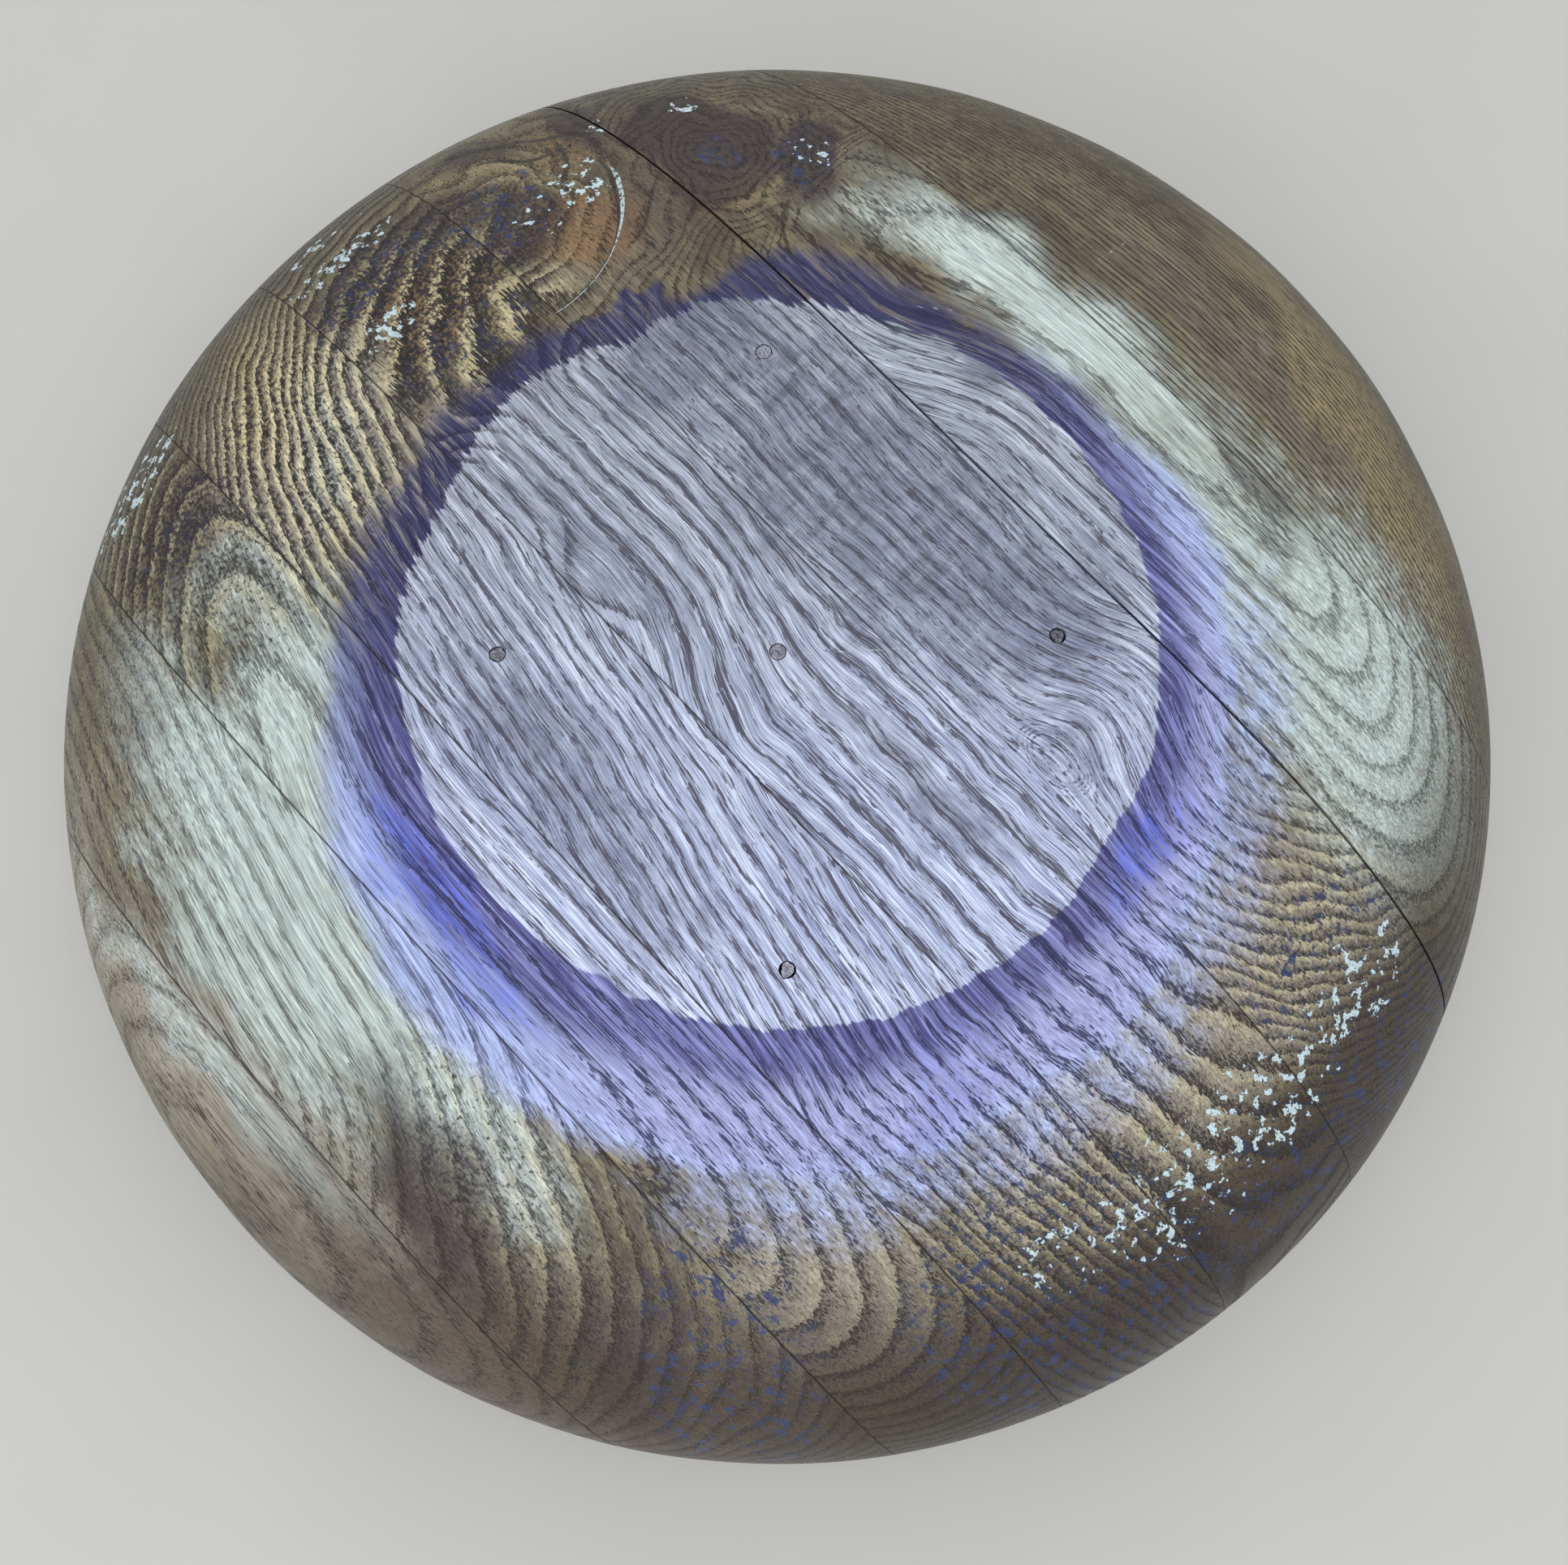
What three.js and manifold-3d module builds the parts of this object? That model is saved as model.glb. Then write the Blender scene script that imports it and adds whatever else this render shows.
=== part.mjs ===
// Edge-glued turned wooden bowl, lying upside down on its rim.
//
// Eight boards are glued edge to edge, turned as one blank, and hollowed. Four screws and a
// centre point held the blank on a faceplate, and their holes in the foot are closed by plugs.
//
// Frame: millimetres, +Z up, origin on the turning axis in the plane of the rim.
// The boards run along X, so every glue joint is a plane of constant Y.

import * as THREE from 'three';
import { mergeVertices } from 'three/addons/utils/BufferGeometryUtils.js';
import Module from 'manifold-3d';

const wasm = await Module();
wasm.setup();

// ---- Driving dimensions, mm ----

const WIDEST_RADIUS = 200;
const FOOT_RADIUS = 94;
const TOTAL_HEIGHT = 104;
const WIDEST_HEIGHT = 26;

// Roundness of the wall between foot and widest circle: 1 and 1 would be a plain ellipse.
const WALL_RADIUS_POWER = 0.95;
const WALL_HEIGHT_POWER = 0.82;

// Below its widest circle the wall closes in a little towards the lip.
const LIP_INSET = 5;
const LIP_THICKNESS = 8;
const LIP_FLAT_WIDTH = 3;

const FLOOR_THICKNESS = 15;
const WALL_THICKNESS = 10;

// Where the boards meet, as distances from the turning axis along Y.
const FIRST_JOINT_Y = 120.5;
const INNER_BOARD_WIDTHS = [51.5, 49.7, 46.6, 47, 38.9, 50.2];
const GLUE_GAP = 0.3;

// One joint, between the second and third boards, has opened as the wood dried.
const OPEN_JOINT_INDEX = 1;
const OPEN_JOINT_GAP = 0.7;

const PLUG_RADIUS = 2.1;
const PLUG_LENGTH = 9;
const PLUG_CLEARANCE = 0.3;
const PLUG_SIDES = 16;

// Hand-marked screw holes in the foot, one at each corner of a skewed square round the centre.
const PLUGS = [
  { name: 'screw_hole_plug_center', x: 0, y: -1.6 },
  { name: 'screw_hole_plug_1', x: 44.2, y: 51.8 },
  { name: 'screw_hole_plug_2', x: -61.1, y: 50.9 },
  { name: 'screw_hole_plug_3', x: -46.6, y: -52.3 },
  { name: 'screw_hole_plug_4', x: 58.5, y: -53.6 },
];

const LATHE_SEGMENTS = 80;
const UPPER_WALL_STEPS = 12;
const LOWER_WALL_STEPS = 3;
const LIP_STEPS = 3;

// ---- Materials ----

const BOARD_LOOKS = [
  { color: 0x6f6238, roughness: 0.35 },
  { color: 0x9a9a86, roughness: 0.35 },
  { color: 0x6d6672, roughness: 0.4 },
  { color: 0x8d88a0, roughness: 0.4 },
  { color: 0x8f8a9c, roughness: 0.4 },
  { color: 0x7f7a6c, roughness: 0.38 },
  { color: 0x7b7158, roughness: 0.35 },
  { color: 0x8a8264, roughness: 0.35 },
];
const PLUG_LOOK = { color: 0x77767a, roughness: 0.8 };

function woodMaterial(look) {
  return new THREE.MeshStandardMaterial({ color: look.color, roughness: look.roughness, metalness: 0 });
}

// ---- Solids ----

// Turns a closed geometry into a solid that can be cut.
function toSolid(geometry) {
  const plain = geometry.clone();
  plain.deleteAttribute('normal');
  plain.deleteAttribute('uv');
  const merged = mergeVertices(plain, 1e-4);
  const index = merged.index.array;
  const triangles = [];
  for (let i = 0; i < index.length; i += 3) {
    const [a, b, c] = [index[i], index[i + 1], index[i + 2]];
    const isFlat = a === b || b === c || c === a;
    if (!isFlat) triangles.push(a, b, c);
  }
  const mesh = new wasm.Mesh({
    numProp: 3,
    vertProperties: new Float32Array(merged.attributes.position.array),
    triVerts: new Uint32Array(triangles),
  });
  return new wasm.Manifold(mesh);
}

// Turns a cut solid back into a named mesh.
function toMesh(solid, name, look) {
  const { vertProperties, triVerts } = solid.getMesh();
  const geometry = new THREE.BufferGeometry();
  geometry.setAttribute('position', new THREE.BufferAttribute(vertProperties, 3));
  geometry.setIndex(new THREE.BufferAttribute(triVerts, 1));
  geometry.computeVertexNormals();
  const mesh = new THREE.Mesh(geometry, woodMaterial(look));
  mesh.name = name;
  return mesh;
}

// A point on the outside of the wall: turn 0 is the edge of the foot, turn 1 the widest circle.
function upperWallPoint(turn) {
  const angle = (turn * Math.PI) / 2;
  const reach = Math.max(Math.sin(angle), 0) ** WALL_RADIUS_POWER;
  const rise = Math.max(Math.cos(angle), 0) ** WALL_HEIGHT_POWER;
  return new THREE.Vector2(
    FOOT_RADIUS + (WIDEST_RADIUS - FOOT_RADIUS) * reach,
    WIDEST_HEIGHT + (TOTAL_HEIGHT - WIDEST_HEIGHT) * rise,
  );
}

// The same wall moved in along its normal, by a thickness that tapers from the floor to the lip.
function innerWallPoint(turn) {
  const step = 0.01;
  const before = upperWallPoint(Math.max(turn - step, 0));
  const after = upperWallPoint(Math.min(turn + step, 1));
  const along = after.sub(before).normalize();
  const thickness = THREE.MathUtils.lerp(FLOOR_THICKNESS, WALL_THICKNESS, turn);
  return upperWallPoint(turn).add(new THREE.Vector2(along.y, -along.x).multiplyScalar(thickness));
}

// A point below the widest circle: drop 0 is the widest circle, drop 1 the level of the rim.
function lowerWallRadius(drop) {
  return WIDEST_RADIUS - LIP_INSET * drop ** 2;
}

// The rounded lip, from its outside to its inside, with a narrow flat that it rests on.
function lipPoints() {
  const rounding = (LIP_THICKNESS - LIP_FLAT_WIDTH) / 2;
  const outerCentre = WIDEST_RADIUS - LIP_INSET - rounding;
  const innerCentre = outerCentre - LIP_FLAT_WIDTH;
  const points = [];
  for (let i = 0; i <= LIP_STEPS; i += 1) {
    const angle = (i / LIP_STEPS) * (Math.PI / 2);
    points.push(new THREE.Vector2(outerCentre + rounding * Math.cos(angle), rounding * (1 - Math.sin(angle))));
  }
  for (let i = LIP_STEPS; i >= 0; i -= 1) {
    const angle = (i / LIP_STEPS) * (Math.PI / 2);
    points.push(new THREE.Vector2(innerCentre - rounding * Math.cos(angle), rounding * (1 - Math.sin(angle))));
  }
  return points;
}

// Half section of the bowl, from the middle of the foot round the lip to the middle of the hollow.
function bowlProfile() {
  const points = [new THREE.Vector2(0, TOTAL_HEIGHT)];
  for (let i = 0; i <= UPPER_WALL_STEPS; i += 1) {
    points.push(upperWallPoint(i / UPPER_WALL_STEPS));
  }
  for (let i = 1; i < LOWER_WALL_STEPS; i += 1) {
    const drop = i / LOWER_WALL_STEPS;
    points.push(new THREE.Vector2(lowerWallRadius(drop), WIDEST_HEIGHT * (1 - drop)));
  }
  points.push(...lipPoints());
  for (let i = UPPER_WALL_STEPS; i >= 0; i -= 1) {
    points.push(innerWallPoint(i / UPPER_WALL_STEPS));
  }
  points.push(new THREE.Vector2(0, TOTAL_HEIGHT - FLOOR_THICKNESS));
  return points;
}

function turnedBlank() {
  const profile = bowlProfile().reverse();
  const geometry = new THREE.LatheGeometry(profile, LATHE_SEGMENTS);
  geometry.rotateX(Math.PI / 2);
  return toSolid(geometry);
}

// A block that covers the whole bowl between two values of Y.
function slab(fromY, toY) {
  const size = 3 * WIDEST_RADIUS;
  const geometry = new THREE.BoxGeometry(size, toY - fromY, size);
  geometry.translate(0, (fromY + toY) / 2, 0);
  return toSolid(geometry);
}

// An upright round pin whose top is above or level with the foot.
function uprightPin(x, y, radius, length, topHeight) {
  const geometry = new THREE.CylinderGeometry(radius, radius, length, PLUG_SIDES);
  geometry.rotateX(Math.PI / 2);
  geometry.translate(x, y, topHeight - length / 2);
  return toSolid(geometry);
}

// ---- Boards ----

function jointPositions() {
  const positions = [FIRST_JOINT_Y];
  for (const width of INNER_BOARD_WIDTHS) {
    positions.push(positions.at(-1) - width);
  }
  return positions;
}

function halfGap(jointIndex) {
  return (jointIndex === OPEN_JOINT_INDEX ? OPEN_JOINT_GAP : GLUE_GAP) / 2;
}

function drilledBowl() {
  const overshoot = 1;
  let bowl = turnedBlank();
  for (const plug of PLUGS) {
    const radius = PLUG_RADIUS + PLUG_CLEARANCE;
    const depth = PLUG_LENGTH + PLUG_CLEARANCE;
    bowl = bowl.subtract(uprightPin(plug.x, plug.y, radius, depth + overshoot, TOTAL_HEIGHT + overshoot));
  }
  return bowl;
}

const bowl = new THREE.Group();
const blank = drilledBowl();
const joints = jointPositions();
const farEdge = 1.5 * WIDEST_RADIUS;

BOARD_LOOKS.forEach((look, i) => {
  const top = i === 0 ? farEdge : joints[i - 1] - halfGap(i - 1);
  const bottom = i === joints.length ? -farEdge : joints[i] + halfGap(i);
  bowl.add(toMesh(blank.intersect(slab(bottom, top)), `board_${i + 1}`, look));
});

for (const plug of PLUGS) {
  const pin = uprightPin(plug.x, plug.y, PLUG_RADIUS, PLUG_LENGTH, TOTAL_HEIGHT);
  bowl.add(toMesh(pin, plug.name, PLUG_LOOK));
}

export default bowl;
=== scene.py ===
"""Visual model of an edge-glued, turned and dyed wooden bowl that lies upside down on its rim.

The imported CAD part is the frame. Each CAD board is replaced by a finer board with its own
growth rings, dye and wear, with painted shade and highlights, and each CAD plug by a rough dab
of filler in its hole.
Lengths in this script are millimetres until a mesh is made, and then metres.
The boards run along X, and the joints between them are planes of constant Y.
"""

import math

import bpy
import numpy as np
from mathutils import Matrix, Vector


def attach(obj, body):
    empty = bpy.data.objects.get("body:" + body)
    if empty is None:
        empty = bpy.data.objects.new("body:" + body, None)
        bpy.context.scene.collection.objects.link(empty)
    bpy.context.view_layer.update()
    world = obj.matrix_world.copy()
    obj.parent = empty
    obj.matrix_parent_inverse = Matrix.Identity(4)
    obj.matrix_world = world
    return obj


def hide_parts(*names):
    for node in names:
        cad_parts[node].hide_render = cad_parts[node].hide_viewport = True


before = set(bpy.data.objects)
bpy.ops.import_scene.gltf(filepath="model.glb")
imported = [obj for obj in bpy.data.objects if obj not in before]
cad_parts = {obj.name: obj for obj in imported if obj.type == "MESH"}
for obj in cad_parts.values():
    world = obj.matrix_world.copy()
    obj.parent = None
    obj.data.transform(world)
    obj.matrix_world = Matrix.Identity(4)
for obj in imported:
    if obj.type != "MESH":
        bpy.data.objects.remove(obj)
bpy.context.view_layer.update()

MM = 0.001
SEED = 7

# ---- The turned shape, mm, as in the CAD part ----

WIDEST_RADIUS = 200
FOOT_RADIUS = 94
TOTAL_HEIGHT = 104
WIDEST_HEIGHT = 26
WALL_RADIUS_POWER = 0.95
WALL_HEIGHT_POWER = 0.82
LIP_INSET = 5
LIP_ROUNDING = 2.5
LIP_OUTER_CENTRE = 192.5
LIP_INNER_CENTRE = 189.5
# The hollow, from the lip up to its floor: radius and height.
HOLLOW_PROFILE = ((187, 2.5), (190, 26), (186, 48), (182.5, 56), (171, 69), (154, 79), (108, 89))
HOLLOW_FLOOR_HEIGHT = 89

OUTSIDE_STEP = 1.2
INSIDE_STEP = 2.6
FINEST_SEGMENTS = 1024

# Joints along Y, from the first board to the last, and the gaps seen at them.
JOINTS = (120.5, 69.0, 19.3, -27.3, -74.3, -113.2, -163.4)
TIGHT_GAP = 0.12
OPEN_GAP = 0.7
OPEN_JOINT = 69.0
# A distance well past the bowl.
FAR = 400.0


# ---- Small helpers for fields over the surface ----

def smooth(low, high, value):
    """0 below low, 1 above high, with a smooth rise between. low may be the larger."""
    t = np.clip((value - low) / (high - low), 0, 1)
    return t * t * (3 - 2 * t)


def oval(x, y, centre_x, centre_y, half_x, half_y, turn=0, edge=0.45):
    """1 inside a turned oval and 0 outside it, with a soft edge."""
    c = math.cos(math.radians(turn))
    s = math.sin(math.radians(turn))
    along = (x - centre_x) * c + (y - centre_y) * s
    across = -(x - centre_x) * s + (y - centre_y) * c
    return smooth(1 + edge, 1 - edge, np.hypot(along / half_x, across / half_y))


def ovals(x, y, spots, edge=0.7):
    """The strongest of several soft ovals: (x, y, half length, half width, turn, strength)."""
    level = np.zeros_like(x)
    for centre_x, centre_y, half_x, half_y, turn, strength in spots:
        level = np.maximum(level, strength * oval(x, y, centre_x, centre_y, half_x, half_y, turn, edge))
    return level


def wobble(x, y, length, seed):
    """A smooth seeded unevenness of about +-1 over features of the given length."""
    rng = np.random.default_rng(SEED * 100 + seed)
    total = np.zeros_like(x)
    for _ in range(5):
        angle = rng.uniform(0, 2 * math.pi)
        wave = 2 * math.pi / (length * rng.uniform(0.7, 1.6))
        phase = rng.uniform(0, 2 * math.pi)
        total += np.sin(wave * (x * math.cos(angle) + y * math.sin(angle)) + phase)
    return total / 2.5


# ---- Turned profile and mesh ----

def upper_wall(turn):
    angle = turn * math.pi / 2
    reach = max(math.sin(angle), 0) ** WALL_RADIUS_POWER
    rise = max(math.cos(angle), 0) ** WALL_HEIGHT_POWER
    radius = FOOT_RADIUS + (WIDEST_RADIUS - FOOT_RADIUS) * reach
    return radius, WIDEST_HEIGHT + (TOTAL_HEIGHT - WIDEST_HEIGHT) * rise


def lower_wall(drop):
    return WIDEST_RADIUS - LIP_INSET * drop ** 2, WIDEST_HEIGHT * (1 - drop)


def lip_points():
    points = []
    for i in range(1, 6):
        angle = i / 5 * math.pi / 2
        points.append((LIP_OUTER_CENTRE + LIP_ROUNDING * math.cos(angle),
                       LIP_ROUNDING * (1 - math.sin(angle))))
    for i in range(6):
        angle = i / 5 * math.pi / 2
        points.append((LIP_INNER_CENTRE - LIP_ROUNDING * math.sin(angle),
                       LIP_ROUNDING * (1 - math.cos(angle))))
    return points


def spaced(points, step):
    """The same path with points a step apart."""
    path = np.array(points, float)
    lengths = np.hypot(*np.diff(path, axis=0).T)
    reach = np.concatenate([[0], np.cumsum(lengths)])
    count = max(2, int(round(reach[-1] / step)) + 1)
    at = np.linspace(0, reach[-1], count)
    return np.stack([np.interp(at, reach, path[:, 0]), np.interp(at, reach, path[:, 1])], 1)


def hollow_curve():
    """A smooth curve through the hollow's profile, from the lip to its flat floor."""
    knots = np.array(HOLLOW_PROFILE, float)
    ahead = np.vstack([knots[1:], 2 * knots[-1] - knots[-2]])
    behind = np.vstack([2 * knots[0] - knots[1], knots[:-1]])
    slope = (ahead - behind) / 2
    # It meets the floor nearly level.
    slope[-1] = (-40, 1)
    points = []
    for i in range(len(knots) - 1):
        for t in np.linspace(0, 1, 16, endpoint=False):
            h = (2 * t ** 3 - 3 * t ** 2 + 1, t ** 3 - 2 * t ** 2 + t,
                 3 * t ** 2 - 2 * t ** 3, t ** 3 - t ** 2)
            points.append(h[0] * knots[i] + h[1] * slope[i] + h[2] * knots[i + 1] + h[3] * slope[i + 1])
    points.append(knots[-1])
    return points


def profile():
    """Rings of the turned bowl from the middle of the foot round to the middle of the hollow."""
    foot = spaced([(0, TOTAL_HEIGHT), (FOOT_RADIUS, TOTAL_HEIGHT)], OUTSIDE_STEP)
    wall = spaced([upper_wall(t) for t in np.linspace(0, 1, 400)], OUTSIDE_STEP)
    below = spaced([lower_wall(t) for t in np.linspace(0, 0.9, 60)], OUTSIDE_STEP)
    lip = np.array(lip_points())
    hollow = spaced(hollow_curve(), INSIDE_STEP)
    floor = spaced([(HOLLOW_PROFILE[-1][0], HOLLOW_FLOOR_HEIGHT), (0, HOLLOW_FLOOR_HEIGHT)], INSIDE_STEP)
    outside = np.vstack([foot, wall[1:], below[1:], lip[:6]])
    inside = np.vstack([lip[6:], hollow[1:], floor[1:]])
    return np.vstack([outside, inside]), len(outside)


def segments_at(radius, is_outside):
    """How many points a ring has, halved as the ring gets smaller."""
    count = FINEST_SEGMENTS if is_outside else FINEST_SEGMENTS // 2
    full_radius = 100
    while radius < full_radius and count > 16:
        count //= 2
        full_radius /= 2
    return count


def turned_mesh():
    """Points, outward directions and faces of the whole turned bowl."""
    rings, outside_count = profile()
    tangent = np.gradient(rings, axis=0)
    normal = np.stack([-tangent[:, 1], tangent[:, 0]], 1)
    normal /= np.linalg.norm(normal, axis=1)[:, None]
    counts = []
    for i, (radius, _) in enumerate(rings):
        counts.append(1 if radius < 1e-6 else segments_at(radius, i < outside_count))
    points = []
    outward = []
    starts = []
    for (radius, height), (out_r, out_z), count in zip(rings, normal, counts):
        starts.append(sum(len(p) for p in points))
        angle = np.arange(count) * 2 * math.pi / count
        points.append(np.stack([radius * np.cos(angle), radius * np.sin(angle),
                                np.full(count, height)], 1))
        if count == 1:
            out_r, out_z = 0.0, math.copysign(1, out_z)
        outward.append(np.stack([out_r * np.cos(angle), out_r * np.sin(angle),
                                 np.full(count, out_z)], 1))
    faces = []
    for i in range(len(rings) - 1):
        faces += strip_faces(starts[i], counts[i], starts[i + 1], counts[i + 1])
    return np.vstack(points), np.vstack(outward), faces


def strip_faces(first, n, second, m):
    """Faces between two neighbouring rings whose point counts are equal or differ by two."""
    k = np.arange(max(n, m))
    if n == m:
        after = (k + 1) % n
        quads = np.stack([first + k, second + k, second + after, first + after], 1)
        return quads.tolist()
    if n == 1 or m == 1:
        after = (k + 1) % max(n, m)
        if n == 1:
            return np.stack([np.full(m, first), second + k, second + after], 1).tolist()
        return np.stack([first + k, np.full(n, second), first + after], 1).tolist()
    faces = []
    for j in range(min(n, m)):
        nxt = (j + 1) % min(n, m)
        fine = [2 * j, 2 * j + 1, (2 * j + 2) % max(n, m)]
        if m > n:
            faces.append([first + j, second + fine[0], second + fine[1]])
            faces.append([first + j, second + fine[1], first + nxt])
            faces.append([first + nxt, second + fine[1], second + fine[2]])
        else:
            faces.append([first + fine[0], second + j, first + fine[1]])
            faces.append([second + j, second + nxt, first + fine[1]])
            faces.append([first + fine[1], second + nxt, first + fine[2]])
    return faces


def outer_radius(height):
    """Radius of the outside at a height."""
    turns = np.linspace(0, 1, 400)
    wall = np.array([upper_wall(t) for t in turns])[::-1]
    return np.interp(height, wall[:, 1], wall[:, 0], left=WIDEST_RADIUS)


def outside_share(x, y, z):
    """1 on the outside of the bowl and 0 in its hollow, with a smooth change inside the lip and floor."""
    wall = smooth(5, 2.5, outer_radius(z) - np.hypot(x, y))
    foot = smooth(98, 101, z)
    return np.maximum(wall, foot)


def new_object(name, mesh):
    obj = bpy.data.objects.new(name, mesh)
    bpy.context.scene.collection.objects.link(obj)
    return obj


def make_mesh(name, points_mm, faces):
    mesh = bpy.data.meshes.new(name)
    mesh.from_pydata((np.asarray(points_mm) * MM).tolist(), [], faces)
    mesh.update()
    return mesh


# The middle and radius of the curved crack on the left of board_3, and a distance for points
# nowhere near it.
CRACK_CENTRE = (-143, 25)
CRACK_RADIUS = 37.6
NO_CRACK = 60.0
# Stands for the foot's depth away from the foot.
NOT_FOOT = -50.0


# ---- Growth rings: each board's figure ----
# Each function takes points in mm and returns (rings, v, w): rings counts growth rings, and v and w
# are y and z moved so that fibres run along constant v and w.

def rings_board_1(x, y, z):
    """Narrow rings, 1.65 mm apart, in planes that lean with height."""
    bow = 1.2 * wobble(x, y, 160, 1)
    v = y + bow
    return (v - 0.9 * z) / 1.345 / 1.65 + 0.25 * wobble(x / 6, y, 14, 2), v - 0.5 * z, z


def rings_board_2(x, y, z):
    """Arches round a pith just above the wood, and a knot at the left end."""
    left_drop = 19 * smooth(2, -52, x) * smooth(124, 66, y)
    v = y + left_drop + 0.8 * wobble(x, y, 70, 3)
    pith = 118 - 13 * (x / 143) ** 2
    trunk = np.hypot(0.85 * (v - pith), z - 119)
    count = trunk / 3.3 + 0.35 * np.sin(trunk / 3.9) + 0.12 * wobble(x, y, 40, 4)
    knot_distance = np.hypot(x + 115, 1.15 * (y - 84)) + 2.6 * wobble(x, y, 17, 5)
    knot = knot_distance / 3.4
    near_knot = smooth(-84, -92, x + 0.25 * (y - 90))
    return count * (1 - near_knot) + knot * near_knot, v, z


def rings_board_3(x, y, z):
    """Rings 4.3 mm apart that rise over an eye at the right of the foot."""
    hump = 9 * np.exp(-((x - 66) / 19) ** 2) * smooth(17, 46, y)
    v = y - hump + 0.9 * wobble(x, y, 60, 6) + 0.35 * wobble(x, y, 22, 7)
    dip = 0.4 + 2.0 * smooth(90, 118, x) + 2.6 * smooth(-70, -105, x)
    level = v + dip * (z - TOTAL_HEIGHT)
    count = level / 4.3 + 0.2 * wobble(x / 4, y, 18, 8)
    # Left of the foot the fibres wind round the end of the crack.
    round_crack = np.hypot(x - CRACK_CENTRE[0], y - CRACK_CENTRE[1]) + 3 * wobble(x, y, 15, 42)
    left = smooth(-84, -104, x)
    count = count * (1 - left) + round_crack / 7 * left
    eye = np.hypot((x - 66) / 1.9, y - 29)
    inside_eye = smooth(7, 3.5, eye)
    return count * (1 - inside_eye) + (eye / 2.0) * inside_eye, v, z


def rings_board_4(x, y, z):
    """Wide rings with a swirl in the foot, and coarse ridges at the left."""
    lift = (12 - 0.45 * y) * smooth(14, -42, x)
    v = y - lift + 1.3 * wobble(x, y, 55, 9) + 0.4 * wobble(x, y, 20, 10)
    swirl = 17 * np.exp(-((x + 45) / 15) ** 2 - ((y + 27) / 11) ** 2)
    level = v + (0.8 + 0.03 * y) * (z - TOTAL_HEIGHT)
    count = (level + swirl) / 7.2
    count_left = (0.9 * y + 4.4 * (z - TOTAL_HEIGHT) + 1.6 * wobble(x, y, 16, 41)) / 13 - 1.6
    left = smooth(-86, -104, x)
    return count * (1 - left) + count_left * left + 0.18 * wobble(x / 4, y, 20, 11), v, z


def rings_board_5(x, y, z):
    """Rings 3.9 mm apart at a slant, which lean more at the left."""
    v = y + 0.17 * x + 1.0 * wobble(x, y, 75, 12) + 0.35 * wobble(x, y, 22, 13)
    v = v - 0.17 * (x - 88) * smooth(88, 100, x)
    left = smooth(-82, -100, x)
    level = v + 0.3 * (z - TOTAL_HEIGHT)
    level_left = (v + 1.7 * (z - TOTAL_HEIGHT)) * 0.8 + 0.7 * wobble(x, y, 26, 43) - 14
    return (level * (1 - left) + level_left * left) / 3.9 + 0.25 * wobble(x / 4, y, 14, 14), v, z


def rings_board_6(x, y, z):
    """Arches round a pith just above the board, nested at both ends."""
    slope = 0.22 * (x + 20) * smooth(-20, -70, x)
    v = y + slope + 0.7 * wobble(x, y, 60, 15)
    trunk = np.hypot(0.8 * (v + 115), z - 118)
    return trunk / 3.5 + 0.15 * wobble(x / 3, y, 24, 16), v, z


def rings_board_7(x, y, z):
    """Rings 5.2 mm apart at a slant, which lean over at the right."""
    v = y + 0.2 * x + 1.2 * wobble(x, y, 70, 17)
    dip = 1.05 * smooth(-30, 45, x)
    level = v - dip * (z - TOTAL_HEIGHT)
    return level / 5.2 + 0.2 * wobble(x / 4, y, 22, 18), v, z


def rings_board_8(x, y, z):
    """Rings 3.6 mm apart in leaning planes."""
    v = y + 1.5 * wobble(x, y, 80, 19)
    level = (v - 0.67 * z) / 1.2
    return level / 3.6 + 0.2 * wobble(x / 4, y, 24, 20), v, z


# ---- Dye, stain and wear, with painted shade, sheen and glints, as spots over the plan of the bowl ----
# Spots are (x, y, half length, half width, turn in degrees, strength).

PALE_SPOTS = (
    (-22, 113, 48, 12, 2, 1.1), (46, 104, 50, 10, -6, 0.8), (86, 112, 30, 10, -12, 0.9),
    (106, 98, 46, 27, -28, 0.95), (-60, 106, 26, 9, 28, 0.7), (60, 96, 50, 20, -25, 0.8),
    (-40, -128, 70, 17, -7, 1.1), (-74, -98, 34, 14, -40, 0.9), (-30, -113, 40, 10, -14, 0.8),
    (18, -127, 46, 13, -8, 0.75), (20, 127, 60, 4, 0, 0.4), (-25, -168, 60, 6, 0, 0.6),
    (-30, -148, 50, 11, -6, 0.8), (-122, -45, 22, 12, -30, 0.4), (-104, -88, 18, 14, 0, 0.5),
)
BEIGE_SPOTS = (
    (127, 5, 20, 66, 4, 0.85), (112, -94, 30, 24, 0, 0.75), (-122, -48, 36, 30, -25, 0.95),
    (-5, -172, 84, 14, 0, 1.2), (-90, -142, 50, 12, -35, 0.35), (40, -130, 50, 18, -20, 0.45),
    (60, 140, 90, 14, -6, 0.4), (-112, 40, 18, 30, 0, 0.35), (-60, -172, 60, 12, -20, 0.7),
    (140, -92, 20, 14, 0, 0.4), (146, 10, 16, 66, 4, 0.7), (20, -182, 90, 12, 0, 0.6),
)
# Golden streaks in the wood; the long spot on the far rim at (46, 166) is a painted sheen.
GOLD_AND_SHEEN_SPOTS = (
    (-142, -46, 26, 16, -30, 0.8), (-99, 82, 6, 7, 0, 1.6), (-125, 8, 20, 22, 0, 0.45),
    (-160, 32, 10, 10, 0, 0.7), (-165, -45, 16, 12, -30, 0.5), (46, 166, 60, 9, -12, 0.9),
    (70, 151, 46, 9, -16, 0.9), (-178, 55, 12, 30, 10, 0.5), (96, 144, 40, 8, -30, 0.5),
    (-117, 45, 10, 16, 40, 0.5), (-156, 32, 8, 16, -30, 0.7), (136, 45, 14, 26, 0, 0.2),
)
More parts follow.
